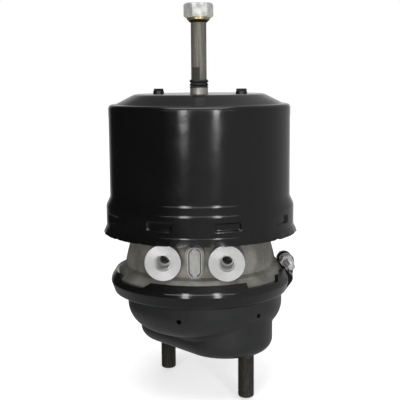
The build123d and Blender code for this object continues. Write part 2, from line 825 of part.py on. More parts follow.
on_stud_centre = (bowl, stud_plate, mounting_studs)
on_chamber_axis = (
    diaphragm, push_rod, pressure_plate, return_spring, bellows, rod_wiper,
    intermediate_flange, flange_o_ring, guide_bush, tube_seal, circlip, id_plate, plate_rivets,
    clamp_ring, clamp_bolt, clamp_nut,
    spring_cylinder, vent_plugs, release_bush, bolt_wiper,
    power_spring, spring_piston, piston_seal, piston_guide_ring, piston_tube, tube_foot,
    release_bolt, release_nut, bolt_collar, lock_pin, thrust_washer,
)
os.makedirs("parts", exist_ok=True)
for make in on_stud_centre:
    export_step(make(), f"parts/{make.__name__}.step")
for make in on_chamber_axis:
    export_step(Pos(-bowl_offset, 0, 0) * make(), f"parts/{make.__name__}.step")
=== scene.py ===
# %% [markdown]
# # Dressing a spring brake chamber
# The chamber is already built as exact solids, and this notebook gives it the surfaces of the
# real thing. Every solid is loaded in metres. From here on we only add finishes, and swap a few
# pieces for richer meshes of the same size, such as a bolt with real thread turns instead of a
# plain rod.

import math

import bmesh
import bpy
import numpy as np
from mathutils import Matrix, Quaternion, Vector


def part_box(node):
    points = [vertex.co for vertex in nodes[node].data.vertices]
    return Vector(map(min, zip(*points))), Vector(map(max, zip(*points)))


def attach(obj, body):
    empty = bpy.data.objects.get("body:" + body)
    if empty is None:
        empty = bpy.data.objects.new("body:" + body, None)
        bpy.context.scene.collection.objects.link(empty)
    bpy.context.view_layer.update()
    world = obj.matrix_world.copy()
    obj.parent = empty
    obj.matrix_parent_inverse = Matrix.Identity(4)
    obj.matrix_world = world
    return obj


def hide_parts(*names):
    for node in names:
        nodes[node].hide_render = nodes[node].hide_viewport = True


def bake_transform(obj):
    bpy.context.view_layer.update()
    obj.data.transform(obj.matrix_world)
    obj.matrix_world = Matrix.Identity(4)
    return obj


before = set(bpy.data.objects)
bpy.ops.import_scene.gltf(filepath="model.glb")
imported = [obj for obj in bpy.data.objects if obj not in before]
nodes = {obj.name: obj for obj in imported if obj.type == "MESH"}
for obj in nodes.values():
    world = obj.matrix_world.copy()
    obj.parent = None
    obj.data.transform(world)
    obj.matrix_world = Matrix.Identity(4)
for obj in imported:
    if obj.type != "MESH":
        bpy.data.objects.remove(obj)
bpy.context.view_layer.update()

# %% [markdown]
# ## The camera
# A long lens a little above the object shows the chamber nearly side on. The chamber's axis
# stands 4.2 mm beside the studs' centre, so the camera is aimed at that axis and not at the
# origin. Placing a camera by distance, height, pitch and roll keeps each number readable.

# %% camera
AXIS_X = -0.0042
CAMERA_DISTANCE = 0.863
CAMERA_HEIGHT = 0.275
CAMERA_TURN = math.radians(4.0)
CAMERA_PITCH = math.radians(8.3)
CAMERA_ROLL = math.radians(-0.49)
LENS_MM = 76.5

camera = bpy.data.objects.new("camera", bpy.data.cameras.new("camera"))
bpy.context.scene.collection.objects.link(camera)
camera.data.lens = LENS_MM
camera.data.sensor_width = 36.0
camera.data.clip_start = 0.01
camera.location = (
    AXIS_X + CAMERA_DISTANCE * math.sin(CAMERA_TURN),
    -CAMERA_DISTANCE * math.cos(CAMERA_TURN),
    CAMERA_HEIGHT,
)
camera.rotation_mode = "QUATERNION"
sight = Vector((
    -math.sin(CAMERA_TURN) * math.cos(CAMERA_PITCH),
    math.cos(CAMERA_TURN) * math.cos(CAMERA_PITCH),
    -math.sin(CAMERA_PITCH),
))
level = sight.to_track_quat("-Z", "Y")
camera.rotation_quaternion = level @ Quaternion((0, 0, 1), CAMERA_ROLL)
bpy.context.scene.camera = camera
bpy.context.scene.view_settings.view_transform = "Standard"
print("camera at", [round(v, 3) for v in camera.location])

# %% [markdown]
# ## Light, floor and backdrop
# Gloss black shows hardly any colour of its own: what we see is the room mirrored in it. Two
# tall soft boxes, left and right of the camera, draw the two upright streaks down the
# cylinder. A wide, very thin one above the camera draws the fine level lines on its shoulders,
# and a large one overhead lights the castings. A bright room behind the object gives the pale
# edges. The floor is a plain pale sheet that mirrors do not see.

# %% studio
def soft_box(name, place, target, width, height, watts):
    lamp = bpy.data.lights.new(name, "AREA")
    lamp.shape = "RECTANGLE"
    lamp.size = width
    lamp.size_y = height
    lamp.energy = watts
    box = bpy.data.objects.new(name, lamp)
    bpy.context.scene.collection.objects.link(box)
    box.location = place
    aim = Vector(target) - Vector(place)
    box.rotation_mode = "QUATERNION"
    box.rotation_quaternion = aim.to_track_quat("-Z", "Y")
    return box


def around(degrees, distance, height):
    """A point at a bearing from the camera's own, at a height above the mounting face."""
    turn = CAMERA_TURN + math.radians(degrees)
    return (AXIS_X + distance * math.sin(turn), -distance * math.cos(turn), height)


CHAMBER_MIDDLE = (AXIS_X, 0.0, 0.16)
soft_box("left strip", around(-18.5, 1.7, 0.56), CHAMBER_MIDDLE, 0.26, 0.85, 7.3)
soft_box("right strip", around(20, 1.7, 0.56), CHAMBER_MIDDLE, 0.20, 0.85, 7.1)
soft_box("top light", (0.0, -0.35, 1.7), CHAMBER_MIDDLE, 1.4, 1.2, 16.0)
soft_box("brow light", around(0, 1.4, 0.62), CHAMBER_MIDDLE, 2.8, 0.10, 3.6)

world = bpy.data.worlds.new("studio")
bpy.context.scene.world = world
world.use_nodes = True
air = world.node_tree
air.nodes.clear()
sky = air.nodes.new("ShaderNodeOutputWorld")
seen = air.nodes.new("ShaderNodeBackground")
lit = air.nodes.new("ShaderNodeBackground")
mix = air.nodes.new("ShaderNodeMixShader")
ray = air.nodes.new("ShaderNodeLightPath")
seen.inputs["Color"].default_value = (1, 1, 1, 1)
seen.inputs["Strength"].default_value = 1.0
way = air.nodes.new("ShaderNodeTexCoord")
split = air.nodes.new("ShaderNodeSeparateXYZ")
air.links.new(way.outputs["Generated"], split.inputs["Vector"])


def room_ramp(axis, start, end, dark, bright):
    """Brightness of the room as it changes along one direction."""
    ramp = air.nodes.new("ShaderNodeMapRange")
    ramp.inputs["From Min"].default_value = start
    ramp.inputs["From Max"].default_value = end
    ramp.inputs["To Min"].default_value = dark
    ramp.inputs["To Max"].default_value = bright
    air.links.new(split.outputs[axis], ramp.inputs["Value"])
    return ramp.outputs["Result"]


def room_maximum(first, second):
    larger = air.nodes.new("ShaderNodeMath")
    larger.operation = "MAXIMUM"
    air.links.new(first, larger.inputs[0])
    air.links.new(second, larger.inputs[1])
    return larger.outputs[0]


behind = room_ramp("Y", 0.80, 1.00, 0.0, 1.0)
beside = room_ramp("X", -0.65, 0.10, 0.02, 0.50)
below = room_ramp("Z", -0.20, -0.50, 0.0, 0.42)
air.links.new(room_maximum(room_maximum(behind, beside), below), lit.inputs["Strength"])
air.links.new(ray.outputs["Is Camera Ray"], mix.inputs["Fac"])
air.links.new(lit.outputs["Background"], mix.inputs[1])
air.links.new(seen.outputs["Background"], mix.inputs[2])
air.links.new(mix.outputs["Shader"], sky.inputs["Surface"])

FLOOR_HEIGHT = -0.0465
floor_mesh = bpy.data.meshes.new("floor")
reach = 6.0
floor_mesh.from_pydata(
    [(-reach, -reach, FLOOR_HEIGHT), (reach, -reach, FLOOR_HEIGHT),
     (reach, reach, FLOOR_HEIGHT), (-reach, reach, FLOOR_HEIGHT)],
    [], [(0, 1, 2, 3)],
)
floor = bpy.data.objects.new("floor", floor_mesh)
bpy.context.scene.collection.objects.link(floor)
white = bpy.data.materials.new("white floor")
white.use_nodes = True
sheet = white.node_tree.nodes["Principled BSDF"]
sheet.inputs["Base Color"].default_value = (0.93, 0.93, 0.93, 1)
sheet.inputs["Roughness"].default_value = 0.9
sheet.inputs["Emission Color"].default_value = (1, 1, 1, 1)
paper = white.node_tree
spot = paper.nodes.new("ShaderNodeTexCoord")
parted = paper.nodes.new("ShaderNodeSeparateXYZ")
glow = paper.nodes.new("ShaderNodeMapRange")
for socket, value in (("From Min", 0.3), ("From Max", 2.5), ("To Min", 0.55), ("To Max", 1.0)):
    glow.inputs[socket].default_value = value
paper.links.new(spot.outputs["Object"], parted.inputs["Vector"])
paper.links.new(parted.outputs["Y"], glow.inputs["Value"])
paper.links.new(glow.outputs["Result"], sheet.inputs["Emission Strength"])
floor_mesh.materials.append(white)
floor.visible_glossy = False
print("studio ready, floor at", FLOOR_HEIGHT)

# %% [markdown]
# ## A small kit for finishes
# Each finish is a chain of nodes that ends in one Principled shader. Writing a helper that adds
# a node and plugs in its inputs keeps every finish below to a few lines. All patterns read the
# object's own coordinates, which are metres here, so a grain of 0.5 mm needs a scale near 2000.

# %% node helpers
class Finish:
    """A material under construction: add nodes, then hand the results to the shader."""

    def __init__(self, name):
        self.material = bpy.data.materials.new(name)
        self.material.use_nodes = True
        self.tree = self.material.node_tree
        self.shader = self.tree.nodes["Principled BSDF"]
        self.place = self.add("ShaderNodeTexCoord").outputs["Object"]

    def add(self, kind, settings=None, **inputs):
        node = self.tree.nodes.new(kind)
        for key, value in (settings or {}).items():
            setattr(node, key, value)
        for key, value in inputs.items():
            self.plug(node, key.replace("_", " "), value)
        return node

    def plug(self, node, socket, value):
        target = node.inputs[int(socket)] if socket.isdigit() else node.inputs[socket]
        if isinstance(value, bpy.types.NodeSocket):
            self.tree.links.new(value, target)
        else:
            target.default_value = value

    def noise(self, scale, detail=4.0, rough=0.5, where=None):
        node = self.add("ShaderNodeTexNoise", Scale=scale, Detail=detail, Roughness=rough)
        self.tree.links.new(where or self.place, node.inputs["Vector"])
        return node.outputs["Fac"]

    def stretched(self, x, y, z):
        node = self.add("ShaderNodeMapping", Vector=self.place)
        node.inputs["Scale"].default_value = (x, y, z)
        return node.outputs["Vector"]

    def sum(self, kind, a, b=0.5, clamp=False):
        node = self.add("ShaderNodeMath", {"operation": kind, "use_clamp": clamp})
        self.plug(node, "0", a)
        self.plug(node, "1", b)
        return node.outputs[0]

    def length(self, a, b):
        """Length of the diagonal over two sides at right angles."""
        squares = self.sum("ADD", self.sum("MULTIPLY", a, a), self.sum("MULTIPLY", b, b))
        return self.sum("SQRT", squares)

    def between(self, value, low, high, out_low=0.0, out_high=1.0):
        node = self.add("ShaderNodeMapRange", {"interpolation_type": "SMOOTHSTEP"}, Value=value)
        node.inputs["From Min"].default_value = low
        node.inputs["From Max"].default_value = high
        node.inputs["To Min"].default_value = out_low
        node.inputs["To Max"].default_value = out_high
        return node.outputs["Result"]

    def blend(self, amount, first, second):
        node = self.add("ShaderNodeMix", {"data_type": "RGBA"})
        self.plug(node, "0", amount)
        for index, value in ((6, first), (7, second)):
            if isinstance(value, bpy.types.NodeSocket):
                self.tree.links.new(value, node.inputs[index])
            else:
                node.inputs[index].default_value = (*value, 1.0)
        return node.outputs[2]

    def axes(self):
        return self.add("ShaderNodeSeparateXYZ", Vector=self.place).outputs

    def bump(self, height, strength, depth, onto=None):
        node = self.add("ShaderNodeBump", Height=height, Strength=strength, Distance=depth)
        if onto is not None:
            self.tree.links.new(onto, node.inputs["Normal"])
        return node.outputs["Normal"]

    def finish(self, colour, roughness, metal=0.0, normal=None, **constants):
        if isinstance(colour, tuple):
            colour = (*colour, 1.0)
        self.plug(self.shader, "Base Color", colour)
        self.plug(self.shader, "Roughness", roughness)
        self.plug(self.shader, "Metallic", metal)
        if normal is not None:
            self.tree.links.new(normal, self.shader.inputs["Normal"])
        for socket, value in constants.items():
            self.shader.inputs[socket.replace("_", " ")].default_value = value
        return self.material


def dress(material, *names):
    """Give a finish to loaded pieces by name."""
    for name in names:
        mesh = nodes[name].data
        mesh.materials.clear()
        mesh.materials.append(material)
        for face in mesh.polygons:
            face.material_index = 0


print("finish helpers ready")

# %% [markdown]
# ## Black paint
# The cylinder and the clamp ring are dipped in gloss paint, and the bowl wears a duller coat of
# the same black. Paint on pressed steel is never a mirror: it has a soft orange-peel swell, a
# little dust, and thin wear where hands and boxes rub. One recipe with a few settings gives all
# of them, so the three pieces look like one paint shop's work.

# %% black paints
def black_paint(name, colour, roughness, swell, dust):
    paint = Finish(name)
    cloud = paint.noise(30.0, 3.0)
    speck = paint.between(paint.noise(1500.0, 2.0), 0.70, 0.78)
    thin = paint.blend(cloud, tuple(0.75 * c for c in colour), tuple(1.35 * c for c in colour))
    dusty = paint.blend(paint.sum("MULTIPLY", speck, dust), thin, (0.10, 0.10, 0.097))
    rough = paint.between(paint.noise(55.0, 4.0), 0.3, 0.7, roughness * 0.85, roughness * 1.2)
    rub = paint.between(paint.noise(9.0, 6.0, 0.7), 0.56, 0.72, 0.0, 0.14)
    rough = paint.sum("ADD", rough, rub)
    peel = paint.bump(paint.noise(420.0, 2.0), 0.25, swell)
    peel = paint.bump(paint.noise(70.0, 2.0), 0.35, swell * 3, onto=peel)
    return paint.finish(dusty, rough, 0.0, peel, Specular_IOR_Level=0.5)


gloss_black = black_paint("gloss black paint", (0.0030, 0.0031, 0.0033), 0.16, 0.00012, 0.5)
ring_black = black_paint("clamp ring paint", (0.0045, 0.0046, 0.0048), 0.13, 0.00010, 0.4)
satin_black = black_paint("satin black paint", (0.010, 0.0103, 0.011), 0.36, 0.0002, 0.5)
dress(satin_black, "bowl")
print("mixed three black paints and painted the bowl")

# %% [markdown]
# ## Cast aluminium with turned port faces
# The flange is one casting, dull and slightly brown, but its two port faces are cut on a lathe
# and shine. Both finishes belong to one mesh, so the shader tells them apart by place: whatever
# lies on the plane of the faces, near a port, is turned metal with fine rings about the port and
# the wider chatter of the tool. The rest keeps the grain of the mould, and the groove under the
# cylinder's lip is painted near black, for paint overspray and for painted shade under the lip.

# %% cast aluminium
PORT_FACE_Y = -0.080
PORT_HEIGHT = 0.1005
PORT_SIDE = 0.03025
RING_PITCH, CHATTER_PITCH = 0.00042, 0.0019

casting = Finish("cast aluminium")
x, y, z = casting.axes()[0:3]
across = casting.sum("SUBTRACT", x, AXIS_X)
side = casting.sum("SUBTRACT", casting.sum("ABSOLUTE", across), PORT_SIDE)
from_port = casting.length(side, casting.sum("SUBTRACT", z, PORT_HEIGHT))
at_face = casting.between(y, PORT_FACE_Y + 0.0002, PORT_FACE_Y + 0.0001)
on_face = casting.sum("MULTIPLY", at_face, casting.between(from_port, 0.0177, 0.0173))
near_bore = casting.between(from_port, 0.0098, 0.0090)
in_bore = casting.sum("MULTIPLY", near_bore, casting.between(y, -0.045, -0.050))
turned_metal = casting.sum("MAXIMUM", on_face, in_bore)
above_plate = casting.between(z, 0.1265, 0.1275)
outside_hub = casting.between(casting.length(across, y), 0.068, 0.070)
groove_paint_and_shade = casting.sum("MULTIPLY", above_plate, outside_hub)
grain = casting.noise(1400.0, 6.0, 0.65)
blotch = casting.noise(45.0, 5.0, 0.6)
patchy = casting.between(blotch, 0.3, 0.7)
mould = casting.blend(patchy, (0.185, 0.175, 0.152), (0.40, 0.385, 0.345))
mould = casting.blend(casting.between(grain, 0.35, 0.62, 0.0, 0.5), mould, (0.11, 0.105, 0.096))
cut = casting.blend(casting.noise(120.0, 3.0), (0.66, 0.66, 0.655), (0.84, 0.84, 0.835))
colour = casting.blend(turned_metal, mould, cut)
# painted shade: the groove under the cylinder's lip is near black, for paint overspray and the
# shade under the lip
colour = casting.blend(groove_paint_and_shade, colour, (0.012, 0.012, 0.013))
rings = casting.sum("SINE", casting.sum("MULTIPLY", from_port, 2 * math.pi / RING_PITCH))
cast_grain = casting.sum("MULTIPLY", grain, casting.between(turned_metal, 0.0, 1.0, 1.0, 0.04))
pits = casting.bump(cast_grain, 0.55, 0.00035)
waves = casting.sum("SINE", casting.sum("MULTIPLY", from_port, 2 * math.pi / CHATTER_PITCH))
lathe = casting.bump(casting.sum("MULTIPLY", rings, on_face), 0.25, 0.00004, onto=pits)
lathe = casting.bump(casting.sum("MULTIPLY", waves, on_face), 0.3, 0.00006, onto=lathe)
rough = casting.between(turned_metal, 0.0, 1.0, 0.58, 0.33)
casting.finish(colour, rough, casting.between(turned_metal, 0.0, 1.0, 0.55, 0.85), lathe)
dress(casting.material, "intermediate_flange")
print("finished the flange")

# %% [markdown]
# ## Plated, brown and bright steel
# Small hardware differs mostly in its plating. Zinc on the clamp bolt and its nut is light and
# faintly cloudy, the studs carry a dark phosphate coat, and the neck is worn bare. Stretching a
# noise along one axis is what turns clouds into streaks. Pieces that get a mesh of their own
# further down are given their finish there.

# %% steels
def steel(name, dark, light, roughness, metal=1.0, streak=(1, 1, 1), scale=260.0, grain=0.00006):
    made = Finish(name)
    drawn = made.noise(scale, 5.0, 0.6, where=made.stretched(*streak))
    cloud = made.noise(60.0, 4.0)
    colour = made.blend(made.between(drawn, 0.3, 0.7), dark, light)
    colour = made.blend(made.between(cloud, 0.5, 0.75, 0.0, 0.35), colour, dark)
    rough = made.between(drawn, 0.3, 0.7, roughness * 1.25, roughness * 0.85)
    normal = made.bump(made.noise(2200.0, 3.0), 0.4, grain)
    return made.finish(colour, rough, metal, normal)


zinc = steel("zinc plate", (0.50, 0.50, 0.49), (0.74, 0.74, 0.73), 0.34)
stud_coat = steel("phosphated studs", (0.020, 0.019, 0.014), (0.050, 0.048, 0.037), 0.5,
                  metal=0.4, streak=(1, 1, 0.08), scale=900.0)
bright_steel = steel("turned steel", (0.40, 0.40, 0.39), (0.62, 0.62, 0.61), 0.32,
                     streak=(1, 1, 8))
neck_steel = steel("worn neck steel", (0.34, 0.33, 0.30), (0.55, 0.54, 0.50), 0.55,
                   metal=0.8, streak=(1, 1, 0.2))
spring_coat = steel("coated spring steel", (0.018, 0.018, 0.019), (0.05, 0.05, 0.052), 0.42,
                    metal=0.3)
dark_plate = steel("dark pressed steel", (0.06, 0.058, 0.054), (0.13, 0.126, 0.12), 0.5)
dress(zinc, "clamp_nut", "push_rod", "pressure_plate", "plate_rivets")
dress(bright_steel, "lock_pin", "thrust_washer", "piston_tube")
dress(neck_steel, "release_bush")
dress(dark_plate, "stud_plate", "circlip")
print("plated the hardware")

# %% [markdown]
# ## The blank rating plate
# The plate is thin anodised sheet with a raised rim. The corner between rim and field gets a
# painted shade, so the oval outline reads as a dark line. The distance from the plate's middle
# line gives the outline: straight sides, and half circles at both ends.

# %% rating plate
PLATE_STRAIGHT, PLATE_RIM = 0.0078, 0.0055
badge = Finish("anodised plate")
x, y, z = badge.axes()[0:3]
across = badge.sum("SUBTRACT", x, AXIS_X)
along = badge.sum("ABSOLUTE", badge.sum("SUBTRACT", z, PORT_HEIGHT))
beyond = badge.sum("MAXIMUM", badge.sum("SUBTRACT", along, PLATE_STRAIGHT), 0.0)
from_line = badge.length(across, beyond)
off_rim = badge.sum("ABSOLUTE", badge.sum("SUBTRACT", from_line, PLATE_RIM))
# painted shade: a dark line in the corner between the rim and the field
rim_corner_shade = badge.between(off_rim, 0.0007, 0.0003)
sheet_colour = badge.blend(badge.noise(250.0, 4.0), (0.30, 0.30, 0.285), (0.48, 0.48, 0.46))
wear = badge.noise(900.0, 3.0, where=badge.stretched(1, 1, 0.3))
rubbed = badge.between(wear, 0.55, 0.70, 0.0, 0.45)
sheet_colour = badge.blend(rubbed, sheet_colour, (0.20, 0.20, 0.19))
colour = badge.blend(rim_corner_shade, sheet_colour, (0.05, 0.05, 0.047))
badge.finish(colour, 0.42, 0.6, badge.bump(badge.noise(1500.0, 3.0), 0.3, 0.00004))
dress(badge.material, "id_plate")
print("plate done")

# %% [markdown]
# ## The collar under the nut
# Only a narrow band of the collar shows its yellow plating; the cone below it is painted dark
# as shade. Height alone tells the two apart, so one mask blends the plating and the painted shade.

# %% collar
COLLAR_BAND = 0.3302
collar = Finish("yellow collar")
height = collar.axes()[2]
# painted shade: the cone below the yellow band is painted dark, with a noisy edge to the band
shade_edge_wobble = collar.sum("MULTIPLY", collar.noise(500.0, 3.0), 0.0006)
cone_shade = collar.between(collar.sum("SUBTRACT", height, shade_edge_wobble), COLLAR_BAND, COLLAR_BAND - 0.0007)
yellow = collar.blend(collar.noise(300.0, 3.0), (0.34, 0.24, 0.09), (0.60, 0.46, 0.22))
colour = collar.blend(cone_shade, yellow, (0.055, 0.048, 0.035))
scratches = collar.bump(collar.noise(1800.0, 3.0), 0.3, 0.00005)
collar.finish(colour, collar.between(cone_shade, 0.0, 1.0, 0.34, 0.5), 0.9, scratches)
dress(collar.material, "bolt_collar")
print("collar done")

# %% [markdown]
# ## Rubber and plastic
# Seals, plugs and the diaphragm are black and matt. Rubber gets a fine bloom that lightens it
# in patches, and moulded plastic gets the tiny, even grain of a spark-eroded mould.

# %% rubber and plastic
def soft_black(name, colour, bloom, roughness, scale, depth):
    made = Finish(name)
    patch = made.between(made.noise(80.0, 5.0, 0.6), 0.45, 0.7, 0.0, 0.5)
    rough = made.between(made.noise(200.0, 3.0), 0.3, 0.7, roughness - 0.08, roughness + 0.08)
    skin = made.bump(made.noise(scale, 3.0), 0.5, depth)
    return made.finish(made.blend(patch, colour, bloom), rough, 0.0, skin)


rubber = soft_black("black rubber", (0.014, 0.014, 0.014), (0.035, 0.034, 0.032),
                    0.62, 900.0, 0.0001)
plug_plastic = soft_black("plug plastic", (0.012, 0.012, 0.013), (0.022, 0.022, 0.023),
                          0.42, 2400.0, 0.00005)
bush_plastic = soft_black("bush plastic", (0.16, 0.155, 0.14), (0.24, 0.235, 0.22),
                          0.5, 1500.0, 0.00005)
dress(rubber, "flange_o_ring", "tube_seal", "piston_seal", "rod_wiper")
dress(plug_plastic, "vent_plugs")
dress(bush_plastic, "guide_bush", "piston_guide_ring", "tube_foot")
dress(casting.material, "spring_piston")
print("seals and plugs done")

# %% [markdown]
# ## Threads cut as geometry
# A bolt's thread could be a bump, but then its outline stays a straight line. Here a thread is
# a real surface: rings of points up the rod, where each point's radius depends on how far it
# stands along the helix. Height and turn together give a phase from 0 to 1 along one pitch,
# and a flat-topped V of that phase gives the depth. The outer radius is the plain rod's, so
# the dressed bolt is never thicker than the solid that it stands for.

# %% thread maker
THREAD_SIDES = 48
ROWS_PER_PITCH = 8


def thread_depth(phase, depth):
    """Depth below the crest of a 60 degree thread with a small flat on crest and root."""
    v = 1.0 - abs(2.0 * phase - 1.0)
    return depth * min(1.0, max(0.0, (v - 0.12) / 0.76))


def lathe_piece(name, outline, centre, pitch=None, depth=0.0, threaded=(0, 0), trim=None):
    """A round piece with its axis along Z, from (height, radius) pairs, lowest first."""
    heights = [outline[0][0]]
    for (low, _), (high, _) in zip(outline, outline[1:]):
        cut = pitch and high > threaded[0] and low < threaded[1]
        step = pitch / ROWS_PER_PITCH if cut else high - low
        rows = max(1, round((high - low) / step)) if high > low else 1
        heights += [low + (high - low) * (n + 1) / rows for n in range(rows)]
    points, faces = [], []
    radii = np.interp(heights, [h for h, _ in outline], [r for _, r in outline])
    stations = list(zip(heights, radii))
    doubled = [p for p, q in zip(outline, outline[1:]) if p[0] == q[0]]
    for edge in doubled:
        pair = [r for h, r in outline if h == edge[0]]
        at = next(i for i, (h, _) in enumerate(stations) if h == edge[0])
        stations = [s for s in stations if s[0] != edge[0]]
        stations[at:at] = [(edge[0], r) for r in pair]
    for height, radius in stations:
        for n in range(THREAD_SIDES):
            turn = 2 * math.pi * n / THREAD_SIDES
            r = radius
            if pitch and threaded[0] <= height <= threaded[1]:
                run_out = min(1.0, (height - threaded[0]) / pitch, (threaded[1] - height) / pitch)
                r -= run_out * thread_depth((height / pitch - n / THREAD_SIDES) % 1.0, depth)
            if trim:
                r = trim(r, turn, height)
            points.append((centre[0] + r * math.cos(turn), centre[1] + r * math.sin(turn), height))
    for row in range(len(stations) - 1):
        for n in range(THREAD_SIDES):
            a, b = row * THREAD_SIDES + n, row * THREAD_SIDES + (n + 1) % THREAD_SIDES
            faces.append((a, b, b + THREAD_SIDES, a + THREAD_SIDES))
    last = (len(stations) - 1) * THREAD_SIDES
    faces.append(tuple(range(THREAD_SIDES - 1, -1, -1)))
    faces.append(tuple(range(last, last + THREAD_SIDES)))
    mesh = bpy.data.meshes.new(name)
    mesh.from_pydata(points, [], faces)
    mesh.validate()
    mesh.shade_smooth()
    mesh.set_sharp_from_angle(angle=math.radians(35))
    return mesh


def closed_rings(name, points, sides, sharp, turned_over=False):
    """A mesh of rings of points, each joined to the next and the last to the first."""
    loops = len(points) // sides
    faces = []
    for loop in range(loops):
        start, after = loop * sides, (loop + 1) % loops * sides
        for n in range(sides):
            m = (n + 1) % sides
            if turned_over:
                faces.append((start + n, after + n, after + m, start + m))
            else:
                faces.append((start + n, start + m, after + m, after + n))
    mesh = bpy.data.meshes.new(name)
    mesh.from_pydata(points, [], faces)
    mesh.shade_smooth()
    mesh.set_sharp_from_angle(angle=math.radians(sharp))
    return mesh


def shown(name, mesh, material, body, slot, *stands_for):
    """Put a mesh on the scene as a piece that rides on a body and stands for loaded pieces."""
    mesh.materials.append(material)
    piece = bpy.data.objects.new(name, mesh)
    bpy.context.scene.collection.objects.link(piece)
    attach(piece, body)
    if stands_for:
        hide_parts(*stands_for)
    return piece


print("thread maker ready")

# %% [markdown]
# ## Studs and release bolt
# Both are lathe pieces. The studs carry a fine thread of 1.5 mm pitch from their tip up to the
# bowl, and the release bolt a 2 mm thread over its whole length, with one flat filed on it
# above the neck. The flat is a trim: any point that stands beyond it is pulled back onto it.

# %% studs
STUD_SPACING = 0.12065
STUD_ANGLE = math.radians(-44.0)
STUD_RADIUS, STUD_PITCH = 0.008, 0.0015
STUD_TIP, STUD_THREAD = -0.0440, 0.0006
SHOULDER, HEAD_LOW, HEAD_RADIUS = 0.0004, 0.008, 0.012
stud_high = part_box("mounting_studs")[1]
for label, side in (("near", 1), ("far", -1)):
    out = side * STUD_SPACING / 2
    spot = (out * math.cos(STUD_ANGLE), out * math.sin(STUD_ANGLE))
    outline = [
        (STUD_TIP, STUD_RADIUS - 0.0028), (STUD_TIP + 0.0004, STUD_RADIUS - 0.0015),
        (STUD_TIP + 0.0012, STUD_RADIUS - 0.0004), (STUD_TIP + 0.0022, STUD_RADIUS),
        (0.0, STUD_RADIUS), (0.0, STUD_RADIUS + SHOULDER), (HEAD_LOW, STUD_RADIUS + SHOULDER),
        (HEAD_LOW, HEAD_RADIUS), (stud_high.z, HEAD_RADIUS),
    ]
    cut_over = (STUD_TIP + 0.001, -0.0005)
    mesh = lathe_piece(label + "_stud", outline, spot, STUD_PITCH, STUD_THREAD, cut_over)
    stud = shown(label + "_stud", mesh, stud_coat, "housing", "stud_steel", "mounting_studs")
    print(stud.name, len(mesh.polygons), "faces")

# %% release bolt
BOLT_RADIUS, BOLT_PITCH, BOLT_THREAD, BOLT_HEAD = 0.00785, 0.002, 0.00014, 0.0106
FLAT_TURN = math.radians(-110.0)
FLAT_LOW, FLAT_HIGH, FLAT_OUT = 0.2715, 0.2835, BOLT_RADIUS - 0.0009
bolt_low, bolt_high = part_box("release_bolt")


def filed(r, turn, height):
    """Pull a point back onto the filed flat where it stands beyond it."""
    reach = math.cos(turn - FLAT_TURN)
    if FLAT_LOW <= height <= FLAT_HIGH and r * reach > FLAT_OUT:
        return FLAT_OUT / reach
    return r


bolt = Finish("oiled bolt steel")
x, y, z = bolt.axes()[0:3]
drawn = bolt.noise(600.0, 4.0, 0.55, where=bolt.stretched(1, 1, 0.05))
rust = bolt.between(bolt.noise(60.0, 4.0), 0.55, 0.75, 0.0, 0.5)
towards = bolt.sum(
    "ADD", bolt.sum("MULTIPLY", bolt.sum("SUBTRACT", x, AXIS_X), math.cos(FLAT_TURN)),
    bolt.sum("MULTIPLY", y, math.sin(FLAT_TURN)))
far_out = bolt.between(towards, FLAT_OUT - 0.0004, FLAT_OUT - 0.0002)
at_height = bolt.sum("MULTIPLY", bolt.between(z, FLAT_LOW - 0.0002, FLAT_LOW),
                     bolt.between(z, FLAT_HIGH + 0.0002, FLAT_HIGH))
shaded_flat = bolt.sum("MULTIPLY", far_out, at_height)
shank = bolt.blend(bolt.between(drawn, 0.35, 0.65), (0.125, 0.117, 0.098), (0.20, 0.19, 0.163))
shank = bolt.blend(rust, shank, (0.17, 0.115, 0.085))
# painted shade: the filed flat is painted darker than the shank
shank = bolt.blend(shaded_flat, shank, (0.060, 0.056, 0.050))
bolt.finish(shank, bolt.between(drawn, 0.3, 0.7, 0.66, 0.56), 0.5, bolt.bump(drawn, 0.2, 0.00004))

outline = [
    (bolt_low.z, BOLT_HEAD), (bolt_low.z + 0.008, BOLT_HEAD), (bolt_low.z + 0.008, BOLT_RADIUS),
    (bolt_high.z - 0.0008, BOLT_RADIUS), (bolt_high.z, BOLT_RADIUS - 0.0016),
]
cut_over = (bolt_low.z + 0.009, bolt_high.z)
mesh = lathe_piece("threaded_release_bolt", outline, (AXIS_X, 0.0), BOLT_PITCH, BOLT_THREAD,
                   cut_over, filed)
shown("threaded_release_bolt", mesh, bolt.material, "release_screw", "dark_steel", "release_bolt")
print("release bolt", len(mesh.polygons), "faces")

# %% [markdown]
# ## The nut on top
# A hexagon nut is turned before it is used: both ends are chamfered round, so each flat ends in
# a curved edge. Taking, at every bearing, the smaller of the hexagon's radius and the cone's
# radius gives exactly those curves.

# %% nut
NUT_FLATS, NUT_LOW, NUT_HIGH = 0.0130, 0.3323, 0.3465
NUT_TURN = math.radians(9.0)
NUT_SIDES, NUT_BORE, NUT_CONE = 144, 0.0079, math.radians(36)
NUT_HEIGHTS = (0.0, 0.0003, 0.0007, 0.0011, 0.0015, 0.0020, 0.0026, 0.0034)


def nut_radius(turn, from_end):
    """The hexagon, cut by a cone at its ends."""
    lean = (turn - NUT_TURN) % (math.pi / 3) - math.pi / 6
    return min(NUT_FLATS / math.cos(lean), NUT_FLATS - 0.0002 + from_end / math.tan(NUT_CONE))


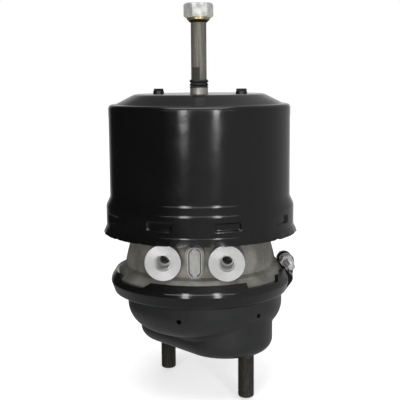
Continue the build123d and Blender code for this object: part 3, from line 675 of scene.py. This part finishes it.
rows = [(NUT_LOW, h) for h in NUT_HEIGHTS] + [(NUT_HIGH, -h) for h in reversed(NUT_HEIGHTS)]
points = []
for base, shift in [(NUT_LOW, None)] + rows + [(NUT_HIGH, None)]:
    height = base + (shift or 0.0)
    for n in range(NUT_SIDES):
        turn = 2 * math.pi * n / NUT_SIDES
        radius = NUT_BORE if shift is None else nut_radius(turn, abs(shift))
        points.append((AXIS_X + radius * math.cos(turn), radius * math.sin(turn), height))
mesh = closed_rings("chamfered_nut", points, NUT_SIDES, 18)
nut_zinc = steel("bright zinc nut", (0.40, 0.40, 0.385), (0.66, 0.66, 0.65), 0.58,
                 metal=0.55, scale=160.0)
shown("chamfered_nut", mesh, nut_zinc, "release_screw", "zinc_plate", "release_nut")
print("nut", len(mesh.polygons), "faces")

# %% [markdown]
# ## Wiper on the release bolt's neck
# The wiper is a soft black collar that has been squeezed: its two lips are frayed and lie over
# each other unevenly. The lathe outline gives the lips, and the trim pulls points inwards by an
# uneven wave, finer between the lips where the rubber is ribbed.

# %% wiper
WIPER_LOW, WIPER_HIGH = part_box("bolt_wiper")
WIPER_RADIUS = 0.0098


def frayed(r, turn, height):
    """Ragged lips, and upright ribs between them."""
    share = (height - WIPER_LOW.z) / (WIPER_HIGH.z - WIPER_LOW.z)
    wave = 0.5 + 0.5 * math.sin(5 * turn + 9 * share) * math.sin(3 * turn - 4 * share)
    ribs = 0.5 + 0.5 * math.cos(22 * turn)
    return r - 0.0007 * wave - (0.0003 * ribs if 0.3 < share < 0.7 else 0.0)


def wiper_outline():
    """Heights and radii of three lips with two waists, the middle one the smallest."""
    rows = 32
    points = []
    for n in range(rows + 1):
        share = n / rows
        lips = abs(math.cos(2.5 * math.pi * share)) ** 0.6
        waist = 0.0016 if share < 0.75 else 0.0011
        height = WIPER_LOW.z + share * (WIPER_HIGH.z - WIPER_LOW.z)
        points.append((height, WIPER_RADIUS - waist * (1 - lips)))
    return points


mesh = lathe_piece("frayed_wiper", wiper_outline(), (AXIS_X, 0.0), trim=frayed)
shown("frayed_wiper", mesh, rubber, "housing", "black_rubber", "bolt_wiper")
print("wiper", len(mesh.polygons), "faces")

# %% [markdown]
# ## Port threads and the clamp bolt
# Looking into a port we see the thread of the hose fitting, and the clamp bolt shows its thread
# where it sticks out past the nut. The port thread is a thin sleeve whose inner wall follows a
# helix. The clamp bolt is one mesh: a threaded rod with a six-sided head.

# %% port threads
PORT_RADIUS, PORT_PITCH, PORT_DEPTH = 0.00723, 0.0015, 0.0165
SLEEVE_SIDES, SLEEVE_WALL, PORT_THREAD = 48, 0.00006, 0.0005


def port_thread(name, centre_x):
    """A sleeve in the port: threaded inside, plain outside."""
    rows = int(PORT_DEPTH / PORT_PITCH * ROWS_PER_PITCH)
    mouth = PORT_FACE_Y + 0.0012
    points = []

    def circle(radius_at, y):
        for n in range(SLEEVE_SIDES):
            turn = 2 * math.pi * n / SLEEVE_SIDES
            r = radius_at(n)
            points.append((centre_x + r * math.cos(turn), y, PORT_HEIGHT + r * math.sin(turn)))

    def crest(run, n):
        phase = (run - n / SLEEVE_SIDES) % 1.0
        return PORT_RADIUS - SLEEVE_WALL - PORT_THREAD + thread_depth(phase, PORT_THREAD)

    circle(lambda n: PORT_RADIUS, mouth)
    for row in range(rows + 1):
        run = row / ROWS_PER_PITCH
        circle(lambda n: crest(run, n), mouth + run * PORT_PITCH)
    circle(lambda n: PORT_RADIUS, mouth + rows / ROWS_PER_PITCH * PORT_PITCH)
    return closed_rings(name, points, SLEEVE_SIDES, 40)


for label, side in (("service", -1), ("parking", 1)):
    mesh = port_thread(label + "_port_thread", AXIS_X + side * PORT_SIDE)
    shown(label + "_port_thread", mesh, casting.material, "housing", "cast_aluminium")
    print(label, "port thread", len(mesh.polygons), "faces")

# %% clamp bolt
CLAMP_TURN = math.radians(8.0)
CLAMP_CIRCLE, CLAMP_HEIGHT = 0.0885, 0.0848
CLAMP_RADIUS, CLAMP_NEAR, CLAMP_SEAT = 0.004, 0.036, 0.0085
HEAD_ACROSS, HEAD_THICK, HEAD_BEVEL = 0.013, 0.0053, 0.0008
CLAMP_PITCH, CLAMP_THREAD = 0.00125, 0.00065


def on_clamp(point):
    """From a bolt drawn upright along Z to its place across the ring's joint."""
    across, out, along = point
    x, y = CLAMP_CIRCLE + across, along
    return (
        AXIS_X + x * math.cos(CLAMP_TURN) - y * math.sin(CLAMP_TURN),
        x * math.sin(CLAMP_TURN) + y * math.cos(CLAMP_TURN),
        CLAMP_HEIGHT + out,
    )


outline = [
    (-CLAMP_NEAR, CLAMP_RADIUS - 0.001), (-CLAMP_NEAR + 0.001, CLAMP_RADIUS),
    (CLAMP_SEAT, CLAMP_RADIUS),
]
mesh = lathe_piece("threaded_clamp_bolt", outline, (0, 0), CLAMP_PITCH, CLAMP_THREAD,
                   (-CLAMP_NEAR, -0.008))
head = bmesh.new()
head.from_mesh(mesh)
for vertex in head.verts:
    vertex.co = on_clamp(vertex.co)
ends = []
for along, shrink in (
    (CLAMP_SEAT, 1.0), (CLAMP_SEAT + HEAD_THICK - HEAD_BEVEL, 1.0), (CLAMP_SEAT + HEAD_THICK, 0.88),
):
    corner = HEAD_ACROSS / math.sqrt(3) * shrink
    turns = [math.pi / 3 * n for n in range(6)]
    spots = [(corner * math.cos(turn), corner * math.sin(turn), along) for turn in turns]
    ends.append([head.verts.new(on_clamp(spot)) for spot in spots])
for low, high in zip(ends, ends[1:]):
    for n in range(6):
        head.faces.new((low[n], low[(n + 1) % 6], high[(n + 1) % 6], high[n]))
head.faces.new(ends[0][::-1])
head.faces.new(ends[-1])
bmesh.ops.recalc_face_normals(head, faces=head.faces)
head.to_mesh(mesh)
head.free()
shown("threaded_clamp_bolt", mesh, zinc, "housing", "zinc_plate", "clamp_bolt")
print("clamp bolt", len(mesh.polygons), "faces")

# %% [markdown]
# ## The pressed spring cylinder
# The cylinder is drawn from sheet, so its whole outside is one skin: a dome with soft corners,
# a straight wall, a shoulder, a skirt with punched pockets, and a lip that is rolled over the
# flange. One outline turned about the axis gives the skin. Its heights, skirt and lip are those
# of the solid, while the wall stands 1 mm further out and the top's slope starts and ends
# further out. Two further steps push points inwards only: a pocket at each slot, whose lower
# side faces up and catches the light as a thin line, and the slight wave and the nicks that
# rolling leaves.

# %% cylinder outline
SKIN = 0.003
BENDS = (0.014, 0.004, 0.004, 0.008, 0.008, 0.004)
NECK, FLAT_RADIUS, FOOT_RADIUS, WALL_RADIUS = 0.0093, 0.0650, 0.0845, 0.0915
SKIRT_RADIUS, LIP_RADIUS = 0.0955, 0.0988
DOME_TOP, WALL_TOP, SHOULDER_TOP, SHOULDER_FOOT = 0.2575, 0.2475, 0.1555, 0.1470
LIP_START, LIP_END = 0.1265, 0.1193
FINE_ROW, PLAIN_ROW = 0.0005, 0.004


def rounded(corners, bends, steps=7):
    """A polyline of (radius, height) corners with an arc of points in place of each corner."""
    path = [corners[0]]
    for before, corner, after, bend in zip(corners, corners[1:], corners[2:], bends):
        at = Vector(corner)
        back, ahead = (Vector(before) - at).normalized(), (Vector(after) - at).normalized()
        half = back.angle(ahead) / 2
        reach = bend / math.tan(half)
        centre = at + (back + ahead).normalized() * bend / math.sin(half)
        first, last = at + back * reach, at + ahead * reach
        for n in range(steps + 1):
            spot = first.lerp(last, n / steps) - centre
            path.append(tuple(centre + spot.normalized() * bend))
    return path + [corners[-1]]


outer_skin = rounded([
    (NECK, DOME_TOP), (FLAT_RADIUS, DOME_TOP), (FOOT_RADIUS, WALL_TOP), (WALL_RADIUS, WALL_TOP),
    (WALL_RADIUS, SHOULDER_TOP), (SKIRT_RADIUS, SHOULDER_FOOT), (SKIRT_RADIUS, LIP_START),
    (LIP_RADIUS, LIP_END),
], BENDS)
inner_skin = [
    (LIP_RADIUS - 0.0027, LIP_END + 0.0001), (SKIRT_RADIUS - SKIN, LIP_START + 0.0006),
    (SKIRT_RADIUS - SKIN, SHOULDER_FOOT), (WALL_RADIUS - SKIN, SHOULDER_TOP - 0.0005),
    (WALL_RADIUS - SKIN, WALL_TOP - 0.008), (FOOT_RADIUS - SKIN, WALL_TOP - SKIN),
    (FLAT_RADIUS - 0.001, DOME_TOP - SKIN), (NECK, DOME_TOP - SKIN),
]
outline = []
for (r0, z0), (r1, z1) in zip(outer_skin, outer_skin[1:]):
    row_step = FINE_ROW if z1 < SHOULDER_FOOT - 0.001 else PLAIN_ROW
    pieces = max(1, round(math.hypot(r1 - r0, z1 - z0) / row_step))
    outline += [(r0 + (r1 - r0) * n / pieces, z0 + (z1 - z0) * n / pieces) for n in range(pieces)]
outline.append(outer_skin[-1])
skin_rows = len(outline)
print("outline of", skin_rows, "rows outside")

# %% pressed cylinder
SLOTS, FIRST_SLOT, SLOT_HEIGHT = 9, math.radians(-110.0), 0.1365
POCKET_HALF, POCKET_RISE, POCKET_DEPTH, POCKET_SOFT = 0.0132, 0.0046, 0.0022, 0.0019
AROUND = 720


def smooth(value):
    value = min(1.0, max(0.0, value))
    return value * value * (3 - 2 * value)


def pocket(turn, height):
    """Depth of the pressed pocket at a bearing and a height."""
    step = 2 * math.pi / SLOTS
    along = abs((turn - FIRST_SLOT + step / 2) % step - step / 2) * SKIRT_RADIUS
    beside, above = along - (POCKET_HALF - 0.002), abs(height - SLOT_HEIGHT) - (POCKET_RISE - 0.002)
    outside = math.hypot(max(beside, 0.0), max(above, 0.0)) + min(max(beside, above), 0.0) - 0.002
    return POCKET_DEPTH * smooth(-outside / POCKET_SOFT)


def roll_wave(turn, height):
    """How far the rolled lip is pulled in, and how far its nicks reach up from the edge."""
    depth = min(1.0, max(0.0, (LIP_START + 0.001 - height) / (LIP_START + 0.001 - LIP_END)))
    roll = 0.5 + 0.25 * math.sin(23 * turn) + 0.25 * math.sin(37 * turn + 1.3)
    nick = max(0.0, math.sin(14 * turn + 2.0 * math.sin(3 * turn))) ** 24
    return 0.0007 * depth * depth * roll, 0.0010 * depth * depth * nick


points = []
for row, (radius, height) in enumerate(outline + inner_skin):
    for n in range(AROUND):
        turn = 2 * math.pi * n / AROUND
        pull, lift = roll_wave(turn, height)
        pressed = row < skin_rows and height < SHOULDER_FOOT
        r = radius - (pull + (pocket(turn, height) if pressed else 0.0))
        points.append((AXIS_X + r * math.cos(turn), r * math.sin(turn), height + lift))
mesh = closed_rings("pressed_cylinder", points, AROUND, 40, turned_over=True)
shown("pressed_cylinder", mesh, gloss_black, "housing", "black_paint", "spring_cylinder")
print("pressed cylinder", len(mesh.polygons), "faces")

# %% [markdown]
# ## The clamp ring's upper lip
# Between its lugs the ring's upper lip is trimmed only lightly, with long easy slopes. On the
# loaded ring the cuts are deeper, so its lip points are moved a little along the cone that they
# lie on: the tops come down and the cut edges come up. The ears round the bolt stay as they are.

# %% clamp ring lip
LIP_FOOT, LIP_CUT, LIP_TOP = 0.0700, 0.0730, 0.0826
CUT_RISE, TOP_DROP = 0.0018, 0.0024
CONE, EAR_HALF = -0.67, math.radians(24)


def eased(height):
    """New height of a point of the lip."""
    if height <= LIP_CUT:
        share = max(0.0, (height - LIP_FOOT) / (LIP_CUT - LIP_FOOT))
        return height + CUT_RISE * share
    share = min(1.0, (height - LIP_CUT) / (LIP_TOP - LIP_CUT))
    return height + CUT_RISE - (CUT_RISE + TOP_DROP) * share


mesh = nodes["clamp_ring"].data.copy()
mesh.materials.clear()
for vertex in mesh.vertices:
    x, y, height = vertex.co.x - AXIS_X, vertex.co.y, vertex.co.z
    away = abs(math.atan2(y, x) - CLAMP_TURN)
    if LIP_FOOT < height and away > EAR_HALF:
        radius, lift = math.hypot(x, y), eased(height) - height
        grow = 1 + CONE * lift / radius
        vertex.co = (AXIS_X + x * grow, y * grow, height + lift)
shown("eased_clamp_ring", mesh, ring_black, "housing", "black_paint", "clamp_ring")
print("eased the ring's lip by", CUT_RISE, TOP_DROP)

# %% [markdown]
# ## Springs, diaphragm and bellows
# These four change shape over the stroke, so a rigid copy would hang in the air. Each is here a
# copy of its loaded piece, a mesh of its own with its own finish, baked in place while the loaded
# piece is hidden.

# %% pieces that change shape
def follows_both(node, name, material):
    """A copy of a loaded piece with a finish of its own, baked in place; the loaded piece is
    hidden.
    """
    mesh = nodes[node].data.copy()
    mesh.materials.clear()
    mesh.materials.append(material)
    piece = bpy.data.objects.new(name, mesh)
    piece.matrix_world = nodes[node].matrix_world
    bpy.context.scene.collection.objects.link(piece)
    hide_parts(node)
    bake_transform(piece)
    return piece


for node, name, material, slot, body, still, moving in (
    ("power_spring", "wound_power_spring", spring_coat, "spring_steel", "piston", 0.2542, 0.1916),
    ("return_spring", "wound_return_spring", spring_coat, "spring_steel", "thrust_rod",
     0.0083, 0.0842),
    ("diaphragm", "moulded_diaphragm", rubber, "black_rubber", "thrust_rod", 0.0690, 0.0880),
    ("bellows", "folded_bellows", rubber, "black_rubber", "thrust_rod", 0.0233, 0.0680),
):
    piece = follows_both(node, name, material)
    print(piece.name, len(piece.data.vertices), "points")
